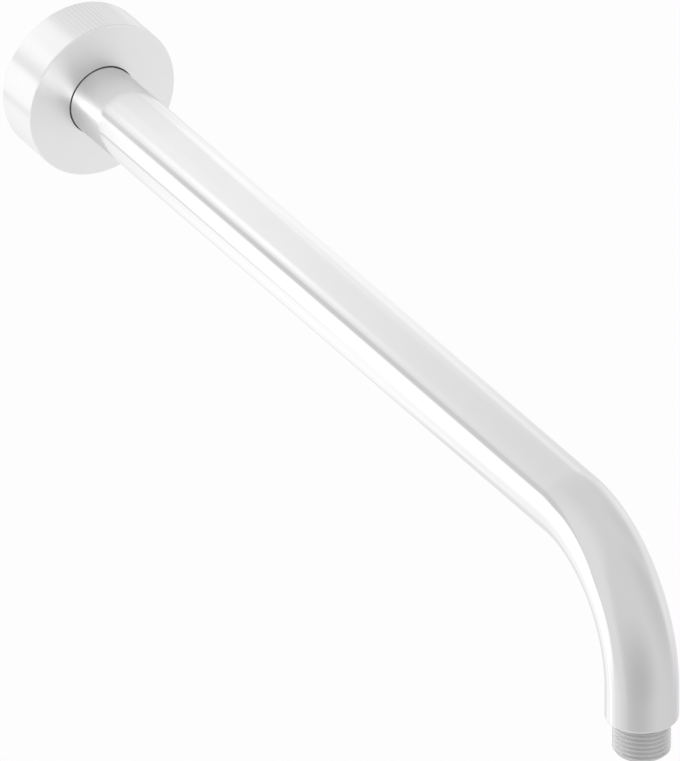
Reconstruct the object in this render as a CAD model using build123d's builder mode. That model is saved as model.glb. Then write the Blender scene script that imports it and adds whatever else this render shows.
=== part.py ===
"""Wall-mounted shower arm: bent tube with threaded end pieces and a sliding round wall flange.

Millimetres, +Z up. The origin lies on the arm's axis in the wall plane. The wall is at Y = 0,
the arm runs along -Y and its outlet points down.
"""

import os

from build123d import *

# Arm tube
projection = 405.0  # wall plane to the outlet's axis
outlet_drop = 61.5  # arm axis down to the tube's lower end
bend_radius = 50.0  # of the tube's centre line
tube_diameter = 26.5
tube_wall = 1.5
wall_standoff = 2.0  # the tube's inlet end stops this far in front of the wall
outlet_edge_round = 1.3  # on the outside, held within the wall

# Threaded end pieces, G 1/2 male, as plain cylinders of the thread's major diameter
thread_diameter = 20.955
inlet_thread_length = 18.0
outlet_thread_length = 13.5
thread_chamfer = 1.2
relief_width = 1.2  # undercut between the tube's end and the first turn
relief_depth = 1.2
waterway_diameter = 15.0
plug_length = 12.0  # part of each nipple that is brazed into the tube
braze_gap = 0.05

# Wall flange
flange_diameter = 60.0
flange_thickness = 20.0
flange_wall = 3.0
flange_web = 7.0  # thickness of the front, which holds the rubber ring
flange_face_round = 0.5
flange_back_round = 0.3
cavity_fillet = 1.5
bore_gap = 0.25  # radial gap between flange bore and tube
bore_mouth_chamfer = 0.15

# Rubber ring in the flange's bore
ring_section = 2.62
ring_clearance = 0.05  # radial, to the tube and to the groove's floor
groove_side_clearance = 0.2

tube_radius = tube_diameter / 2
tube_bore_radius = tube_radius - tube_wall
straight_end = -(projection - bend_radius)
flange_bore_radius = tube_radius + bore_gap
ring_centre_radius = tube_radius + ring_clearance + ring_section / 2
groove_floor_radius = ring_centre_radius + ring_section / 2 + ring_clearance
groove_width = ring_section + 2 * groove_side_clearance
groove_y = -(flange_thickness - flange_web / 2)

os.makedirs("parts", exist_ok=True)

# The bent tube: one annular section swept along straight run, bend and drop
with BuildPart() as arm_tube:
    with BuildLine(Plane.YZ) as tube_path:
        run = Line((-wall_standoff, 0), (straight_end, 0))
        bend = JernArc(start=run @ 1, tangent=run % 1, radius=bend_radius, arc_size=90)
        Line(bend @ 1, (-projection, -outlet_drop))
    with BuildSketch(Plane(tube_path.line @ 0, z_dir=tube_path.line % 0)):
        Circle(tube_radius)
        Circle(tube_bore_radius, mode=Mode.SUBTRACT)
    sweep(path=tube_path.line)
    outlet_face = arm_tube.faces().sort_by(Axis.Z)[0]
    outlet_edge = outlet_face.edges().sort_by(SortBy.LENGTH)[-1]
    fillet(outlet_edge, min(outlet_edge_round, 0.9 * tube_wall))
arm_tube.part.label = "arm_tube"
export_step(arm_tube.part, "parts/arm_tube.step")


def threaded_nipple(section_plane, thread_length, label):
    """Turned end piece. On section_plane x is the radius and y points out of the tube, from its end."""
    bore = waterway_diameter / 2
    plug = tube_bore_radius - braze_gap
    thread = thread_diameter / 2
    with BuildPart() as nipple:
        with BuildSketch(section_plane):
            with Locations((bore, 0)):
                Rectangle(plug - bore, plug_length, align=(Align.MIN, Align.MAX))
                Rectangle(thread - bore, thread_length, align=(Align.MIN, Align.MIN))
            with Locations((thread, 0)):
                Rectangle(relief_depth, relief_width, align=(Align.MAX, Align.MIN), mode=Mode.SUBTRACT)
        revolve(axis=Axis(section_plane.origin, section_plane.y_dir))
        tip = nipple.faces().sort_by(Axis(section_plane.origin, section_plane.y_dir))[-1]
        chamfer(tip.edges().sort_by(SortBy.LENGTH)[-1], thread_chamfer)
    nipple.part.label = label
    export_step(nipple.part, f"parts/{label}.step")


inlet_plane = Plane(origin=(0, -wall_standoff, 0), x_dir=(1, 0, 0), z_dir=(0, 0, 1))
outlet_plane = Plane(origin=(0, -projection, -outlet_drop), x_dir=(1, 0, 0), z_dir=(0, 1, 0))
threaded_nipple(inlet_plane, inlet_thread_length, "inlet_nipple")
threaded_nipple(outlet_plane, outlet_thread_length, "outlet_nipple")

# The flange: turned cover, hollow at the back, with a groove for the rubber ring in its bore
with BuildPart() as flange:
    with BuildSketch(Plane.XY):
        with Locations((flange_bore_radius, 0)):
            Rectangle(
                flange_diameter / 2 - flange_bore_radius,
                flange_thickness,
                align=(Align.MIN, Align.MAX),
            )
            Rectangle(
                flange_diameter / 2 - flange_wall - flange_bore_radius,
                flange_thickness - flange_web,
                align=(Align.MIN, Align.MAX),
                mode=Mode.SUBTRACT,
            )
        with Locations((flange_bore_radius, groove_y)):
            Rectangle(
                groove_floor_radius - flange_bore_radius,
                groove_width,
                align=(Align.MIN, Align.CENTER),
                mode=Mode.SUBTRACT,
            )
    revolve(axis=Axis.Y)
    front = flange.faces().filter_by(Axis.Y).sort_by(Axis.Y)[0]
    rim = flange.faces().filter_by(Axis.Y).sort_by(Axis.Y)[-1]
    cavity_floor = flange.faces().filter_by(Axis.Y).sort_by(Axis.Y)[-2]
    fillet(cavity_floor.edges().sort_by(SortBy.LENGTH)[-1], cavity_fillet)
    fillet(front.edges().sort_by(SortBy.LENGTH)[-1], flange_face_round)
    fillet(rim.edges().sort_by(SortBy.LENGTH)[-1], flange_back_round)
    chamfer(front.edges().sort_by(SortBy.LENGTH)[0], bore_mouth_chamfer)
flange.part.label = "flange"
export_step(flange.part, "parts/flange.step")

# The rubber ring that grips the tube
with BuildPart() as flange_o_ring:
    with BuildSketch(Plane.XY):
        with Locations((ring_centre_radius, groove_y)):
            Circle(ring_section / 2)
    revolve(axis=Axis.Y)
flange_o_ring.part.label = "flange_o_ring"
export_step(flange_o_ring.part, "parts/flange_o_ring.step")
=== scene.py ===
"""Looks of a wall-mounted shower arm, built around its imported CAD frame. Metres, +Z up, wall at Y = 0."""

import math

import bpy
from bpy.props import FloatProperty, FloatVectorProperty, IntProperty, PointerProperty
from mathutils import Matrix, Vector


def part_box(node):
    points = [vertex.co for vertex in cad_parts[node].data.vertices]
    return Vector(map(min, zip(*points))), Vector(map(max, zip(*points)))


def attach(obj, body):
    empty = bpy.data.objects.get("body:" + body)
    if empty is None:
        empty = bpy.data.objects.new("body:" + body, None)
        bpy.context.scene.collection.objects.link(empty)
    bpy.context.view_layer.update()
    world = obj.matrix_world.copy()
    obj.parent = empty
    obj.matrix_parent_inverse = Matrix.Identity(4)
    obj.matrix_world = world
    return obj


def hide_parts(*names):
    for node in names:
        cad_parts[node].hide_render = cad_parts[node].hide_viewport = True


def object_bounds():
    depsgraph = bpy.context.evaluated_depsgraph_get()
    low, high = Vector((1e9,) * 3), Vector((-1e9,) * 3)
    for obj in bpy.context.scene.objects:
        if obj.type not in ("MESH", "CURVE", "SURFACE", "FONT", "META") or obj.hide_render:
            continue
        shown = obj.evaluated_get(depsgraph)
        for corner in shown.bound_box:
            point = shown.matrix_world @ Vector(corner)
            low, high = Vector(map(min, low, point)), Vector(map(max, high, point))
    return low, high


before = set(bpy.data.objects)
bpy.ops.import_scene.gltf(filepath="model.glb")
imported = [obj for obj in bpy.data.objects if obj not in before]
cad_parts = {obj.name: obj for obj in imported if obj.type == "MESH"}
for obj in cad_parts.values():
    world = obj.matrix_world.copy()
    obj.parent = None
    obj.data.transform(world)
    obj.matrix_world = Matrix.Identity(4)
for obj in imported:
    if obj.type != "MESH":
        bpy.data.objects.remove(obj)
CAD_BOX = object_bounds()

bl_info = {
    "name": "Shower Arm",
    "version": (1, 0, 0),
    "blender": (4, 5, 0),
    "location": "3D View > Sidebar > Shower Arm",
    "description": "Chrome shower arm with threaded ends and a sliding wall flange",
    "category": "Add Mesh",
}

MM = 0.001
ACROSS = Vector((1.0, 0.0, 0.0))  # at right angles to every axis of the arm
INTO_WALL = Vector((0.0, 1.0, 0.0))
DOWN = Vector((0.0, 0.0, -1.0))
QUARTER_TURN = math.pi / 2
BLACK = (0.0, 0.0, 0.0)

TUBE_LOW, TUBE_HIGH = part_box("arm_tube")
FLANGE_LOW, FLANGE_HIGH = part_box("flange")
RING_LOW, RING_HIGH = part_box("flange_o_ring")
INLET_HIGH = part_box("inlet_nipple")[1]
OUTLET_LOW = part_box("outlet_nipple")[0]

# Fineness of the meshes: segments round an axis and steps along it
TUBE_SEGMENTS = 256
FLANGE_SEGMENTS = 256
RING_SEGMENTS = 192
THREAD_SEGMENTS = 180
FLOOR_SEGMENTS = 128
DOME_SEGMENTS = 96
RUN_STEPS = 36
BEND_STEPS = 90
STEPS_PER_TURN = 24

# Form of the thread
FLANK_SHARPNESS = 1.4  # the higher, the flatter the crests and roots
RUNOUT_SLOPE = 2  # rise of the first turn out of the relief
START_STEP = 0.01 * MM  # parts the relief's edge from the first ring of the thread
SHARP_ANGLE = math.radians(40)  # where the thread's surface bends more, it is shaded as an edge

# Roughness: the least and the most of a finish, then what the lathe adds to the flange
TUBE_ROUGHNESS = (0.1, 0.13)
FLANGE_ROUGHNESS = (0.2, 0.24)
THREAD_ROUGHNESS = (0.4, 0.26)  # in the roots and on the crests
RUBBER_ROUGHNESS = (0.5, 0.75)
FACING_ROUGHNESS = 0.13  # added where a face looks along the axis
INSIDE_ROUGHNESS = 0.85  # instead, in the hollow and the bore

# Spacing of a finish's spots in millimetres, and strength and depth of its relief
HAZE_SPACING = 14
RIPPLE_SPACING = 6
GRAIN_SPACING = 0.6
MOTTLE_SPACING = 0.8
HAZE_RANGE = (0.3, 0.7)  # most of what the noise gives lies in here
PLATE_RELIEF = (0.05, 0.02 * MM)
RUBBER_RELIEF = (0.2, 0.05 * MM)
EDGE_TINT = (0.84, 0.84, 0.84, 1.0)  # chrome that doesn't turn white at grazing angles

# Painted contact shade in the tube's colour
SHADE_SAMPLES = 8
SHADE_REACH = 100 * MM  # how far it looks for another piece
SHADE_FLOOR = 0.66  # least share of the plate's colour that it leaves

# Faint lines of painted shade on the top of the flange's rim
LINE_COUNT = 108.0  # as many as would go all the way round
LINE_MIDDLE = math.radians(80)  # clock angle from +X at the middle of the lines
LINE_FADE = (math.radians(12), math.radians(36))  # either side of it they fade from here to here
LINE_DEPTH = 0.035  # share of black, from nothing to twice this across a line
RIM_LEAN = 0.3  # most that the rim's normal leans along the axis

# Light panels, each as seen from the middle of its dome: clock angle round the arm's axis from +X,
# tilt from +Y, half width along the clock and half height along the tilt, all in degrees, soft edge as
# a share of the half sizes, brightness. A later panel covers an earlier one.
TENT_LEVEL = 0.72
TENT_PANELS = {
    "far wash": (90, 0, 57, 57, 0.2, 0.77),
    "right slope": (40, 42, 9, 3, 0.9, 0.88),
    "right shade": (40, 90, 18, 12, 0.8, 0.68),
    "left side": (165, 82, 45, 35, 0.6, 0.82),
    "right side": (347, 63, 30, 20, 0.6, 1.01),
    "bend shoulder": (18, 50.5, 9, 3.8, 0.9, 0.93),
    "right glow": (354, 88, 17, 20, 0.8, 0.92),
    "floor": (270, 90, 45, 45, 0.1, 0.88),
    "back wash": (90, 0, 43, 43, 0.12, 1.04),
    "right back light": (354, 39.5, 22, 3.9, 0.8, 1.2),
    "right shoulder": (16, 38.2, 13, 1.3, 0.8, 1.3),
    "upper strip": (136, 40.2, 5, 2.2, 0.45, 1.2),
    "softbox frame": (188, 51, 28, 28, 0.1, 0.68),
    "backdrop": (90, 0, 37.4, 37.4, 0.032, 0.81),
    "upper back light": (129, 27.5, 20, 9, 0.05, 1.28),
    "right rim light": (340, 28, 12, 9, 0.3, 0.97),
    "lower back light": (238, 50, 18, 22, 0.15, 1.18),
    "lower light": (262, 38.8, 16, 4.2, 0.3, 1.24),
    "lower rim light": (262, 29, 22, 8, 0.1, 1.1),
    "drop glow": (212, 80, 7, 9, 0.8, 0.86),
    "softbox glow": (217, 66, 8, 6.5, 0.9, 0.99),
    "softbox": (194.5, 50, 19.5, 28.5, 0.12, 1.25),
    "softbox corner": (181, 62.5, 12, 12.7, 0.12, 1.25),
    "rim softbox": (197, 29, 16, 8, 0.1, 1.06),
    "lower seam": (232, 46.3, 12, 3.3, 0.5, 1.08),
    "drop light": (224, 54, 5, 5, 0.8, 1.26),
    "softbox edge": (219, 35, 2.5, 6, 0.6, 0.8),
    "front wash": (90, 180, 62, 62, 0.04, 1.1),
    "front floor": (311, 134, 12, 14, 0.3, 0.95),
    "front softbox": (179, 134, 11, 7, 0.2, 4.6),
    "right edge light": (350, 38, 14, 2.2, 0.6, 1.18),
}
CARD_LEVEL = 0.71
CARD_PANELS = {
    "shaded front": (210, 142, 26, 38, 0.9, 0.54),
    "shaded right": (26, 116, 34, 24, 0.8, 0.64),
    "pale back": (90, 0, 60, 60, 0.1, 1.0),
}
# The card is cloth only here, in the measures of a panel, and clear elsewhere
CARD_CUTS = {
    "front": (90, 180, 80, 80, 0.1),
    "lower edge": (282, 30, 20, 8, 0.35),
}


def linear(hex_colour):
    """sRGB hex colour, such as EFEFEF, as linear red, green and blue."""
    channels = []
    for first in (0, 2, 4):
        value = int(hex_colour[first:first + 2], 16) / 255
        channels.append(value / 12.92 if value <= 0.04045 else ((value + 0.055) / 1.055) ** 2.4)
    return tuple(channels)


def length_property(name, description, millimetres):
    """Length that a user can change, in metres, from a default in millimetres."""
    return FloatProperty(
        name=name,
        description=description,
        default=millimetres * MM,
        min=0.0,
        precision=5,
        unit="LENGTH",
        subtype="DISTANCE",
    )


def colour_property(name, description, hex_colour):
    """Linear colour that a user can change, from an sRGB hex default."""
    return FloatVectorProperty(
        name=name,
        description=description,
        default=linear(hex_colour),
        min=0.0,
        max=1.0,
        size=3,
        subtype="COLOR",
    )


class TubeSizes(bpy.types.PropertyGroup):
    """Sizes of the bent tube that its box doesn't give"""

    bend_radius: length_property("Bend radius", "Radius of the bend at the tube's centre line", 50)
    wall: length_property("Wall", "Thickness of the tube's wall", 1.5)
    edge_round: length_property("Edge round", "Round on the outer edge of the lower end", 1.3)


class NippleSizes(bpy.types.PropertyGroup):
    """Sizes of the threaded end pieces, G 1/2 male"""

    major_diameter: length_property("Major diameter", "Diameter over the thread's crests", 20.955)
    minor_diameter: length_property("Minor diameter", "Diameter in the thread's roots", 18.631)
    pitch: length_property("Pitch", "Distance from one turn to the next", 1.8143)
    chamfer: length_property("Chamfer", "Chamfer on the first turn", 1.2)
    relief_width: length_property("Relief width", "Undercut between the tube's end and the last turn", 1.2)
    relief_depth: length_property("Relief depth", "Depth of that undercut below the crests", 1.2)
    bore: length_property("Bore", "Diameter of the waterway", 15)
    plug_length: length_property("Plug length", "Part that is brazed into the tube", 12)


class FlangeSizes(bpy.types.PropertyGroup):
    """Sizes of the wall flange that its box doesn't give"""

    wall: length_property("Rim wall", "Thickness of the rim around the hollow back", 3)
    web: length_property("Front", "Thickness of the front that holds the rubber ring", 7)
    face_round: length_property("Face round", "Round between face and rim", 0.5)
    back_round: length_property("Back round", "Round on the rim's edge at the wall", 0.3)
    cavity_fillet: length_property("Cavity fillet", "Fillet in the corner of the hollow", 1.5)
    bore_gap: length_property("Bore gap", "Gap between the bore and the tube", 0.25)
    mouth_chamfer: length_property("Mouth chamfer", "Chamfer on the bore's front edge", 0.15)
    groove_depth: length_property("Groove depth", "Depth of the rubber ring's groove", 2.47)
    groove_width: length_property("Groove width", "Width of the rubber ring's groove", 3.02)


class Finishes(bpy.types.PropertyGroup):
    """Colours of the finishes"""

    tube: colour_property("Tube", "Polished chrome plate of the tube", "EFEFEF")
    flange: colour_property("Flange", "Chrome plate of the turned flange", "EFEFEF")
    # Painted light and shade: the crests' colour is darker and the roots' lighter, to soften the thread's
    # shading
    crest: colour_property("Thread crests", "Chrome plate on the thread, dulled by handling", "DBDBDB")
    root: colour_property("Thread roots", "Untouched plate in the roots", "E9E9E9")
    rubber: colour_property("Rubber", "Moulded rubber of the ring", "2A2A2B")
    floor: colour_property("Floor", "Plain pale floor", "FEFDFE")


class StageSizes(bpy.types.PropertyGroup):
    """Camera and studio around the arm"""

    lens: FloatProperty(
        name="Lens",
        description="Focal length in millimetres, long because the photograph is a parallel view",
        default=1500.0,
    )
    azimuth: FloatProperty(
        name="Azimuth",
        description="Camera's turn to the left of the outlet",
        default=math.radians(30.0),
        subtype="ANGLE",
    )
    elevation: FloatProperty(
        name="Elevation",
        description="Camera's height above the horizon",
        default=math.radians(30.0),
        subtype="ANGLE",
    )
    image_width: IntProperty(name="Image width", description="Photograph's width in pixels", default=680)
    image_height: IntProperty(name="Image height", description="Photograph's height in pixels", default=761)
    pixels_per_mm: FloatProperty(
        name="Pixels per millimetre",
        description="Photograph's scale at the middle of the arm",
        default=2.798,
    )
    face_column: FloatProperty(
        name="Face column",
        description="Photograph's column of the flange face's middle",
        default=102.2,
    )
    face_row: FloatProperty(
        name="Face row",
        description="Photograph's row of the flange face's middle",
        default=99.9,
    )
    tent_radius: length_property("Tent radius", "Radius of the light tent", 1500)
    card_radius: length_property("Card radius", "Distance of the grey card from the bend", 300)
    floor_radius: length_property("Floor radius", "Radius of the floor", 6000)
    floor_depth: length_property("Floor depth", "How far the floor lies below the arm", 1200)


GROUPS = {
    "shower_tube": TubeSizes,
    "shower_nipple": NippleSizes,
    "shower_flange": FlangeSizes,
    "shower_finish": Finishes,
    "shower_stage": StageSizes,
}


# Profiles: points along the axis (s) and out from it (r), each with its outward normal.
# A profile runs along the outside towards +s and comes back along the bore.
def line(start, end, steps=1):
    """Straight stretch of a profile."""
    along = end[0] - start[0]
    out = end[1] - start[1]
    length = math.hypot(along, out)
    normal = (-out / length, along / length)
    shares = [k / steps for k in range(steps + 1)]
    return [(start[0] + along * t, start[1] + out * t, normal) for t in shares]


def arc(centre, radius, first, last, steps=8):
    """Round stretch of a profile between two angles in degrees: convex if it runs clockwise."""
    side = 1 if last < first else -1
    points = []
    for k in range(steps + 1):
        angle = math.radians(first + (last - first) * k / steps)
        along = math.cos(angle)
        out = math.sin(angle)
        points.append((centre[0] + radius * along, centre[1] + radius * out, (side * along, side * out)))
    return points


def straight_axis(origin, direction):
    """Axis of a turned piece: gives point and direction at distance s."""
    return lambda s: (origin + direction * s, direction)


def bent_axis(start_y, straight, bend_radius):
    """Centre line of the tube: straight out of the wall, round the bend and down."""

    def place(s):
        turn = min(max((s - straight) / bend_radius, 0.0), QUARTER_TURN)
        drop = max(s - straight - bend_radius * QUARTER_TURN, 0.0)
        y = start_y - min(s, straight) - bend_radius * math.sin(turn)
        z = -bend_radius * (1 - math.cos(turn)) - drop
        return Vector((0.0, y, z)), Vector((0.0, -math.cos(turn), -math.sin(turn)))

    return place


def turned(name, strokes, place, segments, cut=None):
    """Closed mesh of a profile carried round an axis, with the profile's own normals.

    cut limits the radius at distance s and angle: then Blender finds the normals and its edges by angle.
    """
    rows = [point for stroke in strokes for point in stroke[:-1]]
    angles = [2 * math.pi * j / segments for j in range(segments)]
    circle = [(math.cos(a), math.sin(a)) for a in angles]
    points = []
    for s, r, _ in rows:
        centre, axis = place(s)
        side = axis.cross(ACROSS)
        for angle, (cosine, sine) in zip(angles, circle):
            radius = min(r, cut(s, angle)) if cut else r
            points.append(centre + (ACROSS * cosine + side * sine) * radius)

    faces = []
    normals = []
    row = 0
    for stroke in strokes:
        for near, far in zip(stroke, stroke[1:]):
            here = row * segments
            there = (row + 1) % len(rows) * segments
            spokes = []
            for s, _, (along, out) in (near, far):
                axis = place(s)[1]
                side = axis.cross(ACROSS)
                spokes.append([axis * along + (ACROSS * c + side * d) * out for c, d in circle])
            for j in range(segments):
                k = (j + 1) % segments
                faces.append((here + j, here + k, there + k, there + j))
                normals += [spokes[0][j], spokes[0][k], spokes[1][k], spokes[1][j]]
            row += 1

    mesh = bpy.data.meshes.new(name)
    mesh.from_pydata(points, [], faces)
    mesh.shade_smooth()
    if cut:
        mesh.set_sharp_from_angle(angle=SHARP_ANGLE)
    else:
        mesh.normals_split_custom_set(normals)
    piece = bpy.data.objects.new(name, mesh)
    bpy.context.scene.collection.objects.link(piece)
    return piece


def add_node(tree, kind, settings=None, inputs=None):
    """Adds a shader node, sets its fields, and gives each input a value or a link."""
    made = tree.nodes.new(kind)
    for field, value in (settings or {}).items():
        setattr(made, field, value)
    for socket, value in (inputs or {}).items():
        if isinstance(value, bpy.types.NodeSocket):
            tree.links.new(value, made.inputs[socket])
        else:
            made.inputs[socket].default_value = value
    return made


def new_material(name):
    """Empty material and its node tree with an output node."""
    material = bpy.data.materials.new(name)
    material.use_nodes = True
    material.node_tree.nodes.clear()
    output = add_node(material.node_tree, "ShaderNodeOutputMaterial")
    return material, material.node_tree, output


def dress(piece, material, body, node):
    """Gives a piece its finish and its place in the frame."""
    piece.data.materials.append(material)
    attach(piece, body)
    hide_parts(node)


def calculate(tree, operation, *values):
    """Socket with the result of a Math node on values or sockets."""
    inputs = dict(enumerate(values))
    return add_node(tree, "ShaderNodeMath", {"operation": operation}, inputs).outputs["Value"]


def map_range(tree, value, target, source=(0.0, 1.0), interpolation="LINEAR"):
    """Socket that carries a value from the source's range to the target's."""
    return add_node(
        tree,
        "ShaderNodeMapRange",
        {"interpolation_type": interpolation},
        {
            "Value": value,
            "From Min": source[0],
            "From Max": source[1],
            "To Min": target[0],
            "To Max": target[1],
        },
    ).outputs["Result"]


def mixed_colour(tree, share, first, second):
    """Socket with the first colour where share is 0 and the second where it is 1."""
    return add_node(
        tree,
        "ShaderNodeMix",
        {"data_type": "RGBA"},
        {"Factor": share, 6: (*first, 1.0), 7: (*second, 1.0)},
    ).outputs[2]


def noise(tree, spacing, detail):
    """Socket with soft noise that is fixed to the piece, its spots so many millimetres apart."""
    place = add_node(tree, "ShaderNodeTexCoord").outputs["Object"]
    return add_node(
        tree,
        "ShaderNodeTexNoise",
        inputs={"Vector": place, "Scale": 1 / (spacing * MM), "Detail": detail},
    ).outputs["Fac"]


def bump(tree, height, strength, depth):
    """Socket with the normals of a surface that has a fine relief."""
    return add_node(
        tree,
        "ShaderNodeBump",
        inputs={"Height": height, "Strength": strength, "Distance": depth},
    ).outputs["Normal"]


def painted_shade_lines(tree, colour):
    """Plate colour with faint lines of painted shade along the top of the rim, fading to either side."""
    coordinates = add_node(tree, "ShaderNodeTexCoord")
    place = add_node(tree, "ShaderNodeSeparateXYZ", inputs={0: coordinates.outputs["Object"]})
    facing = add_node(tree, "ShaderNodeSeparateXYZ", inputs={0: coordinates.outputs["Normal"]})
    clock = calculate(tree, "ARCTAN2", place.outputs["Z"], place.outputs["X"])
    wave = calculate(tree, "SINE", calculate(tree, "MULTIPLY", clock, LINE_COUNT))
    on_rim = calculate(tree, "COMPARE", facing.outputs["Y"], 0.0, RIM_LEAN)
    aside = calculate(tree, "ABSOLUTE", calculate(tree, "SUBTRACT", clock, LINE_MIDDLE))
    fade = map_range(tree, aside, (LINE_DEPTH, 0.0), LINE_FADE, "SMOOTHSTEP")
    depth = calculate(tree, "MULTIPLY", fade, on_rim)
    share = calculate(tree, "MULTIPLY_ADD", wave, depth, depth)
    return mixed_colour(tree, share, colour, BLACK)


def painted_contact_shade(tree, colour):
    """Plate colour with painted shade that darkens it towards a piece that stands on it, but never to
    black.
    """
    open_share = add_node(
        tree,
        "ShaderNodeAmbientOcclusion",
        {"samples": SHADE_SAMPLES},
        {"Distance": SHADE_REACH},
    ).outputs["AO"]
    share = calculate(tree, "MAXIMUM", open_share, SHADE_FLOOR)
    return mixed_colour(tree, share, BLACK, colour)


def lathe_marks(tree, roughness):
    """Roughness of a turned piece: facing cuts dull its face, and the plate inside is thin and dull."""
    normal = add_node(tree, "ShaderNodeTexCoord").outputs["Normal"]
    look = add_node(tree, "ShaderNodeSeparateXYZ", inputs={0: normal}).outputs["Y"]
    along = calculate(tree, "ABSOLUTE", look)
    faced = calculate(tree, "MULTIPLY_ADD", along, FACING_ROUGHNESS, roughness)
    inside = add_node(tree, "ShaderNodeAttribute", {"attribute_name": "inside"}).outputs["Fac"]
    return map_range(tree, inside, (faced, INSIDE_ROUGHNESS))


def polished_chrome_plate(name, buffed, coloured, marked=None):
    """Chrome plated on buffed brass: a mirror whose buffing left a faint haze and a slight ripple.

    buffed is the least and most roughness that the buffing left. coloured gives the plate's colour in
    the node tree, painted shade included, and marked changes its roughness where the machining shows.
    """
    material, tree, output = new_material(name)
    haze = noise(tree, HAZE_SPACING, 3.0)
    roughness = map_range(tree, haze, buffed, HAZE_RANGE)
    if marked:
        roughness = marked(tree, roughness)
    ripple = noise(tree, RIPPLE_SPACING, 1.0)
    plate = add_node(
        tree,
        "ShaderNodeBsdfPrincipled",
        inputs={
            "Base Color": coloured(tree),
            "Metallic": 1.0,
            "Specular Tint": EDGE_TINT,
            "Roughness": roughness,
            "Normal": bump(tree, ripple, *PLATE_RELIEF),
        },
    )
    tree.links.new(plate.outputs["BSDF"], output.inputs["Surface"])
    return material


def plated_thread(crest, root):
    """Chrome plate on a cut thread: roots rough from the cutter, crests smoother; its colour is lighter in
    the roots and darker on the crests, painted light and shade that soften the thread's own shading.
    """
    material, tree, output = new_material("plated_cut_thread")
    height = add_node(tree, "ShaderNodeAttribute", {"attribute_name": "thread_height"}).outputs["Fac"]
    grain = noise(tree, GRAIN_SPACING, 3.0)
    plate = add_node(
        tree,
        "ShaderNodeBsdfPrincipled",
        inputs={
            # Painted light and shade: lighter in the roots, darker on the crests
            "Base Color": mixed_colour(tree, height, root, crest),
            "Metallic": 1.0,
            "Roughness": map_range(tree, height, THREAD_ROUGHNESS),
            "Normal": bump(tree, grain, *PLATE_RELIEF),
        },
    )
    tree.links.new(plate.outputs["BSDF"], output.inputs["Surface"])
    return material


def moulded_rubber(colour):
    """Nitrile rubber from a mould: near black, with a matte, slightly mottled skin."""
    material, tree, output = new_material("moulded_nitrile_rubber")
    mottle = noise(tree, MOTTLE_SPACING, 4.0)
    skin = add_node(
        tree,
        "ShaderNodeBsdfPrincipled",
        inputs={
            "Base Color": (*colour, 1.0),
            "Roughness": map_range(tree, mottle, RUBBER_ROUGHNESS),
            "Normal": bump(tree, mottle, *RUBBER_RELIEF),
        },
    )
    tree.links.new(skin.outputs["BSDF"], output.inputs["Surface"])
    return material


def panel_share(tree, direction, clock, tilt, half_width, half_height, edge):
    """Socket that is 1 on a panel of a dome and falls to 0 over its soft edge."""
    turn = math.radians(clock)
    lean = math.radians(tilt)
    outward = Vector((math.cos(turn), 0.0, math.sin(turn)))
    middle = outward * math.sin(lean) + INTO_WALL * math.cos(lean)
    along_tilt = outward * math.cos(lean) - INTO_WALL * math.sin(lean)
    axes = Matrix((along_tilt.cross(middle), along_tilt, middle)).transposed()
    width = 2 * math.sin(math.radians(half_width) / 2)
    height = 2 * math.sin(math.radians(half_height) / 2)
    on_panel = add_node(
        tree,
        "ShaderNodeMapping",
        {"vector_type": "TEXTURE"},
        {
            "Vector": direction,
            "Location": middle,
            "Rotation": axes.to_euler(),
            "Scale": (width, height, width),
        },
    ).outputs["Vector"]
    reach = add_node(tree, "ShaderNodeVectorMath", {"operation": "LENGTH"}, {0: on_panel})
    return map_range(tree, reach.outputs["Value"], (1.0, 0.0), (1 - edge, 1 + edge), "SMOOTHSTEP")


def lit_cloth(name, level, panels, cuts=None):
    """White cloth lit from outside: grey where no lamp stands behind it, bright at the panels."""
    material, tree, output = new_material(name)
    material.cycles.emission_sampling = "NONE"
    direction = add_node(tree, "ShaderNodeTexCoord").outputs["Object"]
    for *place, brightness in panels.values():
        share = panel_share(tree, direction, *place)
        level = add_node(
            tree,
            "ShaderNodeMix",
            {"data_type": "FLOAT"},
            {"Factor": share, 2: level, 3: brightness},
        ).outputs[0]
    shown = add_node(tree, "ShaderNodeEmission", inputs={"Strength": level}).outputs["Emission"]
    if cuts:
        clear = add_node(tree, "ShaderNodeBsdfTransparent").outputs["BSDF"]
        cover = 0.0
        for place in cuts.values():
            share = panel_share(tree, direction, *place)
            cover = calculate(tree, "MAXIMUM", share, cover)
        shown = add_node(tree, "ShaderNodeMixShader", inputs={0: cover, 1: clear, 2: shown}).outputs[0]
    tree.links.new(shown, output.inputs["Surface"])
    return material


def light_dome(name, middle, radius, cloth):
    """Round tent of lit cloth that only shows in polished metal."""
    bpy.ops.mesh.primitive_uv_sphere_add(
        segments=DOME_SEGMENTS,
        ring_count=DOME_SEGMENTS // 2,
        radius=1.0,
        location=middle,
    )
    dome = bpy.context.object
    dome.name = name
    dome.scale = (radius,) * 3
    dome.data.materials.append(cloth)
    dome.visible_camera = False
    dome.visible_diffuse = False
    dome.visible_transmission = False
    dome.visible_shadow = False


def pale_floor(colour):
    """Matte white floor: it can be looked through from below."""
    material, tree, output = new_material("matte_white_floor")
    matte = add_node(tree, "ShaderNodeBsdfDiffuse", inputs={"Color": (*colour, 1.0)})
    clear = add_node(tree, "ShaderNodeBsdfTransparent")
    below = add_node(tree, "ShaderNodeNewGeometry").outputs["Backfacing"]
    shown = add_node(
        tree,
        "ShaderNodeMixShader",
        inputs={0: below, 1: matte.outputs["BSDF"], 2: clear.outputs["BSDF"]},
    )
    tree.links.new(shown.outputs["Shader"], output.inputs["Surface"])
    return material


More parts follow.
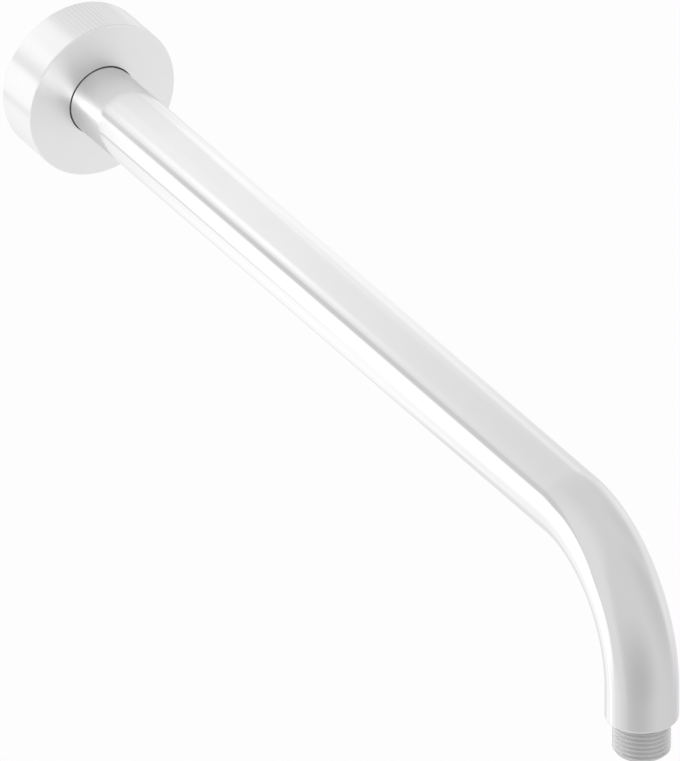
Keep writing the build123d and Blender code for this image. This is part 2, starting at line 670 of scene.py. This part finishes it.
class SHOWER_OT_tube(bpy.types.Operator):
    """Bend the polished tube"""

    bl_idname = "shower.tube"
    bl_label = "Bent Tube"

    def execute(self, context):
        sizes = context.scene.shower_tube
        radius = TUBE_HIGH.x
        bore = radius - sizes.wall
        edge = sizes.edge_round
        straight = TUBE_HIGH.y - (TUBE_LOW.y + radius) - sizes.bend_radius
        bend = straight + sizes.bend_radius * QUARTER_TURN
        end = bend - TUBE_LOW.z - sizes.bend_radius
        strokes = [
            line((0.0, radius), (straight, radius), RUN_STEPS),
            line((straight, radius), (bend, radius), BEND_STEPS),
            line((bend, radius), (end - edge, radius), steps=2),
            arc((end - edge, radius - edge), edge, 90, 0),
            line((end, radius - edge), (end, bore)),
            line((end, bore), (bend, bore), steps=2),
            line((bend, bore), (straight, bore), BEND_STEPS),
            line((straight, bore), (0.0, bore), RUN_STEPS),
            line((0.0, bore), (0.0, radius)),
        ]
        place = bent_axis(TUBE_HIGH.y, straight, sizes.bend_radius)
        tube = turned("arm_tube_polished", strokes, place, TUBE_SEGMENTS)
        colour = context.scene.shower_finish.tube
        # The tube's colour carries painted shade that darkens it near the flange
        finish = polished_chrome_plate(
            "polished_chrome_plate",
            TUBE_ROUGHNESS,
            lambda tree: painted_contact_shade(tree, colour),
        )
        dress(tube, finish, "arm", "arm_tube")
        return {"FINISHED"}


def threaded_end(name, sizes, tube_end, direction, thread_length):
    """Nipple with a real right-hand thread. s is measured out of the tube from its end."""
    crest = sizes.major_diameter / 2
    root = sizes.minor_diameter / 2
    relief = crest - sizes.relief_depth
    bore = sizes.bore / 2
    plug = INLET_HIGH.x
    first = sizes.relief_width
    tip = crest - sizes.chamfer
    steps = round(thread_length / sizes.pitch * STEPS_PER_TURN)

    def thread(s, angle):
        if s <= first:
            return plug
        phase = (s / sizes.pitch + angle / (2 * math.pi)) % 1.0
        wave = abs(4 * phase - 2) - 1  # from -1 in a root to 1 on a crest
        flank = math.tanh(FLANK_SHARPNESS * wave) / math.tanh(FLANK_SHARPNESS)
        turn = (crest + root) / 2 + (crest - root) / 2 * flank
        return min(turn, relief + (s - first) * RUNOUT_SLOPE, tip + thread_length - s)

    strokes = [
        line((-sizes.plug_length, plug), (0.0, plug)),
        line((0.0, plug), (0.0, relief)),
        line((0.0, relief), (first, relief)),
        line((first, relief), (first + START_STEP, crest)),
        line((first + START_STEP, crest), (thread_length, crest), steps),
        line((thread_length, crest), (thread_length, bore), steps=2),
        line((thread_length, bore), (-sizes.plug_length, bore), steps=8),
        line((-sizes.plug_length, bore), (-sizes.plug_length, plug)),
    ]
    axis = straight_axis(tube_end, direction)
    piece = turned(name, strokes, axis, THREAD_SEGMENTS, thread)
    heights = []
    for vertex in piece.data.vertices:
        out = vertex.co - tube_end
        radius = (out - direction * out.dot(direction)).length
        heights.append(min(max((radius - root) / (crest - root), 0.0), 1.0))
    piece.data.attributes.new("thread_height", "FLOAT", "POINT").data.foreach_set("value", heights)
    return piece


class SHOWER_OT_nipples(bpy.types.Operator):
    """Cut the threaded end pieces"""

    bl_idname = "shower.nipples"
    bl_label = "Threaded Ends"

    def execute(self, context):
        sizes = context.scene.shower_nipple
        colours = context.scene.shower_finish
        finish = plated_thread(colours.crest, colours.root)
        inlet_end = Vector((0.0, TUBE_HIGH.y, 0.0))
        inlet = threaded_end(
            "inlet_nipple_threaded",
            sizes,
            inlet_end,
            INTO_WALL,
            INLET_HIGH.y - TUBE_HIGH.y,
        )
        dress(inlet, finish, "arm", "inlet_nipple")
        outlet_end = Vector((0.0, TUBE_LOW.y + TUBE_HIGH.x, TUBE_LOW.z))
        outlet = threaded_end(
            "outlet_nipple_threaded",
            sizes,
            outlet_end,
            DOWN,
            TUBE_LOW.z - OUTLET_LOW.z,
        )
        dress(outlet, finish, "arm", "outlet_nipple")
        return {"FINISHED"}


class SHOWER_OT_flange(bpy.types.Operator):
    """Turn the wall flange"""

    bl_idname = "shower.flange"
    bl_label = "Wall Flange"

    def execute(self, context):
        sizes = context.scene.shower_flange
        face = FLANGE_LOW.y
        back = FLANGE_HIGH.y
        rim = FLANGE_HIGH.x
        front_edge = sizes.face_round
        back_edge = sizes.back_round
        hollow = rim - sizes.wall
        floor = face + sizes.web
        fillet = sizes.cavity_fillet
        bore = TUBE_HIGH.x + sizes.bore_gap
        mouth = sizes.mouth_chamfer
        groove_middle = (RING_LOW.y + RING_HIGH.y) / 2
        groove_near = groove_middle - sizes.groove_width / 2
        groove_far = groove_middle + sizes.groove_width / 2
        groove_floor = bore + sizes.groove_depth
        outside = [
            line((face, bore + mouth), (face, rim - front_edge), steps=6),
            arc((face + front_edge, rim - front_edge), front_edge, 180, 90),
            line((face + front_edge, rim), (back - back_edge, rim), steps=6),
            arc((back - back_edge, rim - back_edge), back_edge, 90, 0),
            line((back, rim - back_edge), (back, hollow)),
        ]
        inside = [
            line((back, hollow), (floor + fillet, hollow), steps=4),
            arc((floor + fillet, hollow - fillet), fillet, 90, 180),
            line((floor, hollow - fillet), (floor, bore), steps=4),
            line((floor, bore), (groove_far, bore)),
            line((groove_far, bore), (groove_far, groove_floor)),
            line((groove_far, groove_floor), (groove_near, groove_floor)),
            line((groove_near, groove_floor), (groove_near, bore)),
            line((groove_near, bore), (face + mouth, bore)),
            line((face + mouth, bore), (face, bore + mouth)),
        ]
        axis = straight_axis(Vector(), INTO_WALL)
        flange = turned("flange_turned", outside + inside, axis, FLANGE_SEGMENTS)
        marks = []
        for mark, strokes in ((0.0, outside), (1.0, inside)):
            rings = sum(len(stroke) - 1 for stroke in strokes)
            marks += [mark] * rings * FLANGE_SEGMENTS
        flange.data.attributes.new("inside", "FLOAT", "FACE").data.foreach_set("value", marks)
        colour = context.scene.shower_finish.flange
        # The flange's colour carries faint lines of painted shade on the top of the rim
        finish = polished_chrome_plate(
            "turned_chrome_plate",
            FLANGE_ROUGHNESS,
            lambda tree: painted_shade_lines(tree, colour),
            lathe_marks,
        )
        dress(flange, finish, "cover", "flange")
        return {"FINISHED"}


class SHOWER_OT_ring(bpy.types.Operator):
    """Mould the rubber ring"""

    bl_idname = "shower.ring"
    bl_label = "Rubber Ring"

    def execute(self, context):
        section = (RING_HIGH.y - RING_LOW.y) / 2
        middle = ((RING_LOW.y + RING_HIGH.y) / 2, RING_HIGH.x - section)
        strokes = [arc(middle, section, 180, 0, steps=16), arc(middle, section, 0, -180, steps=16)]
        axis = straight_axis(Vector(), INTO_WALL)
        ring = turned("o_ring_moulded", strokes, axis, RING_SEGMENTS)
        finish = moulded_rubber(context.scene.shower_finish.rubber)
        dress(ring, finish, "grip_ring", "flange_o_ring")
        return {"FINISHED"}


def disc(name, radius, height):
    """Flat round sheet that faces up."""
    points = []
    for j in range(FLOOR_SEGMENTS):
        angle = 2 * math.pi * j / FLOOR_SEGMENTS
        points.append((radius * math.cos(angle), radius * math.sin(angle), height))
    mesh = bpy.data.meshes.new(name)
    mesh.from_pydata(points, [], [tuple(range(FLOOR_SEGMENTS))])
    sheet = bpy.data.objects.new(name, mesh)
    bpy.context.scene.collection.objects.link(sheet)
    return sheet


class SHOWER_OT_stage(bpy.types.Operator):
    """Set up the light tent, the floor and the camera"""

    bl_idname = "shower.stage"
    bl_label = "Studio"

    def execute(self, context):
        scene = context.scene
        sizes = scene.shower_stage
        scene.view_settings.view_transform = "Standard"

        world = bpy.data.worlds.new("plain_white_surround")
        world.use_nodes = True
        world.node_tree.nodes["Background"].inputs["Color"].default_value = (1.0, 1.0, 1.0, 1.0)
        scene.world = world

        middle = (CAD_BOX[0] + CAD_BOX[1]) / 2
        tent = lit_cloth("lit_tent_cloth", TENT_LEVEL, TENT_PANELS)
        light_dome("light_tent", middle, sizes.tent_radius, tent)
        bend = Vector((0.0, TUBE_LOW.y + TUBE_HIGH.x, TUBE_LOW.z / 2))
        card = lit_cloth("grey_card", CARD_LEVEL, CARD_PANELS, CARD_CUTS)
        light_dome("outlet_card", bend, sizes.card_radius, card)

        floor = disc("floor", sizes.floor_radius, -sizes.floor_depth)
        floor.data.materials.append(pale_floor(scene.shower_finish.floor))
        floor.visible_glossy = False

        # The flange's face stands at its pixel of the photograph, and the scale holds at mid-depth
        sideways = Vector((math.cos(sizes.azimuth), -math.sin(sizes.azimuth), 0.0))
        level = Vector((-math.sin(sizes.azimuth), -math.cos(sizes.azimuth), 0.0))
        back = level * math.cos(sizes.elevation) + Vector((0.0, 0.0, math.sin(sizes.elevation)))
        upwards = back.cross(sideways)
        face = Vector((0.0, FLANGE_LOW.y, 0.0))
        outlet = Vector((0.0, TUBE_LOW.y + TUBE_HIGH.x, OUTLET_LOW.z))
        pixel = MM / sizes.pixels_per_mm
        camera_data = bpy.data.cameras.new("camera")
        camera_data.lens = sizes.lens
        distance = sizes.image_height * pixel * sizes.lens / camera_data.sensor_width
        behind = (outlet - face).dot(back) / 2
        face_pixel = pixel * (distance + behind) / distance
        right = (sizes.image_width / 2 - sizes.face_column) * face_pixel
        down = (sizes.image_height / 2 - sizes.face_row) * face_pixel
        aim = face + sideways * right - upwards * down
        camera_data.clip_end = 4 * distance
        camera = bpy.data.objects.new("camera", camera_data)
        camera.matrix_world = Matrix((sideways, upwards, back)).transposed().to_4x4()
        camera.location = aim + back * (distance + behind)
        scene.collection.objects.link(camera)
        scene.camera = camera
        return {"FINISHED"}


class SHOWER_PT_pieces(bpy.types.Panel):
    """List of the pieces and their sizes"""

    bl_idname = "SHOWER_PT_pieces"
    bl_label = "Shower Arm"
    bl_space_type = "VIEW_3D"
    bl_region_type = "UI"
    bl_category = "Shower Arm"

    def draw(self, context):
        for operator in OPERATORS:
            self.layout.operator(operator.bl_idname)
        for group, kind in GROUPS.items():
            sizes = getattr(context.scene, group)
            column = self.layout.column(align=True)
            for name in kind.__annotations__:
                column.prop(sizes, name)


OPERATORS = (SHOWER_OT_tube, SHOWER_OT_nipples, SHOWER_OT_flange, SHOWER_OT_ring, SHOWER_OT_stage)
CLASSES = (*GROUPS.values(), *OPERATORS, SHOWER_PT_pieces)


def register():
    """Registers the classes and hangs the sizes on the scene."""
    for kind in CLASSES:
        bpy.utils.register_class(kind)
    for name, group in GROUPS.items():
        setattr(bpy.types.Scene, name, PointerProperty(type=group))


def unregister():
    """Takes the sizes and the classes away again."""
    for name in GROUPS:
        delattr(bpy.types.Scene, name)
    for kind in reversed(CLASSES):
        bpy.utils.unregister_class(kind)


def main():
    register()
    bpy.ops.shower.tube()
    bpy.ops.shower.nipples()
    bpy.ops.shower.flange()
    bpy.ops.shower.ring()
    bpy.ops.shower.stage()


if __name__ == "__main__":
    main()
